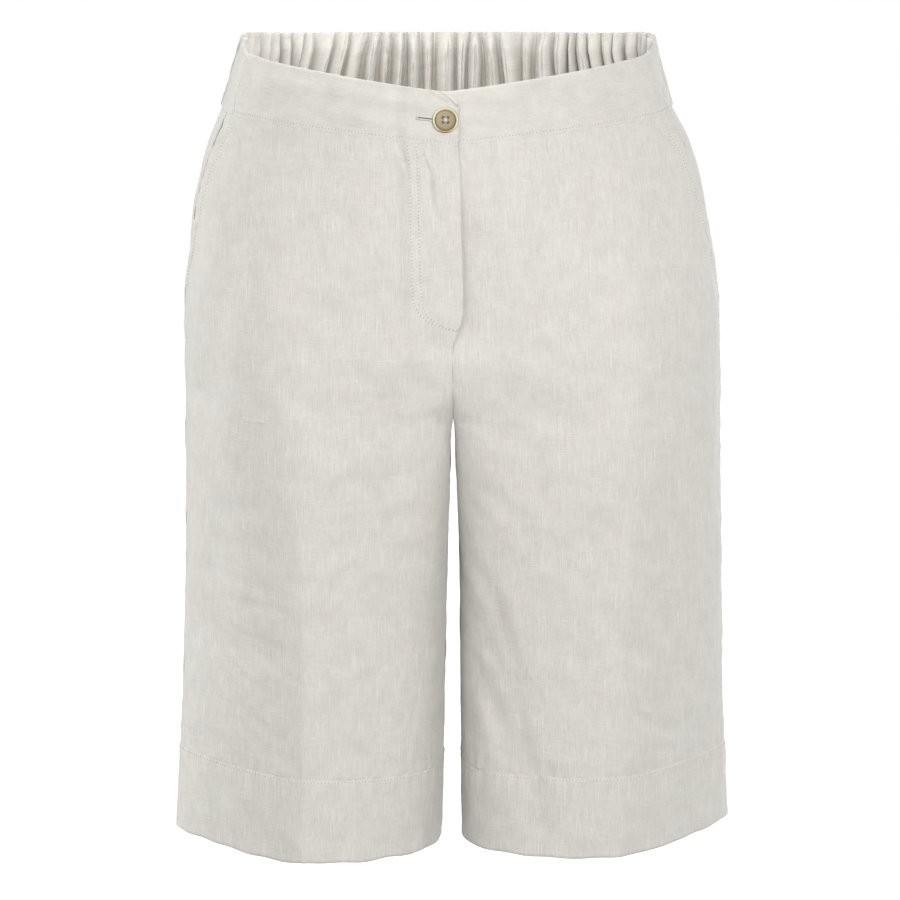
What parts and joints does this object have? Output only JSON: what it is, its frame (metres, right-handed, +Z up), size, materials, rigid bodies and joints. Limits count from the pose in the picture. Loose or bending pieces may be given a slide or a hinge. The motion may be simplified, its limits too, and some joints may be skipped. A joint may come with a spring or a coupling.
{
  "type": "bermuda shorts",
  "caption": "Linen bermuda shorts in their worn, hollow form, with a flat front and gathered back waistband, buttoned fly, side pockets and deep hems.",
  "frame": {"origin": "the middle of the waist, level with the middle of the waistband at the side seams, where the wearer's waist holds the shorts up", "axes": "+Z up, the front of the shorts faces -Y, +X towards the wearer's left"},
  "size_m": [0.4129, 0.2626, 0.5955],
  "materials": {
    "linen": "plain-woven oatmeal linen, matt, with slubs",
    "band_linen": "the same linen, doubled, gathered on elastic at the back",
    "hem_linen": "the same linen, turned up and topstitched",
    "horn": "satin horn-coloured resin, four holes"
  },
  "bodies": {
    "root": {"front_right": "linen", "front_left": "linen", "back_right": "linen", "back_left": "linen", "pocket_bearer_right": "linen", "pocket_bearer_left": "linen", "waistband_front_right": "band_linen", "waistband_front_left": "band_linen", "waistband_back": "band_linen", "hem_right": "hem_linen", "hem_left": "hem_linen", "button": "horn"}
  },
  "joints": []
}
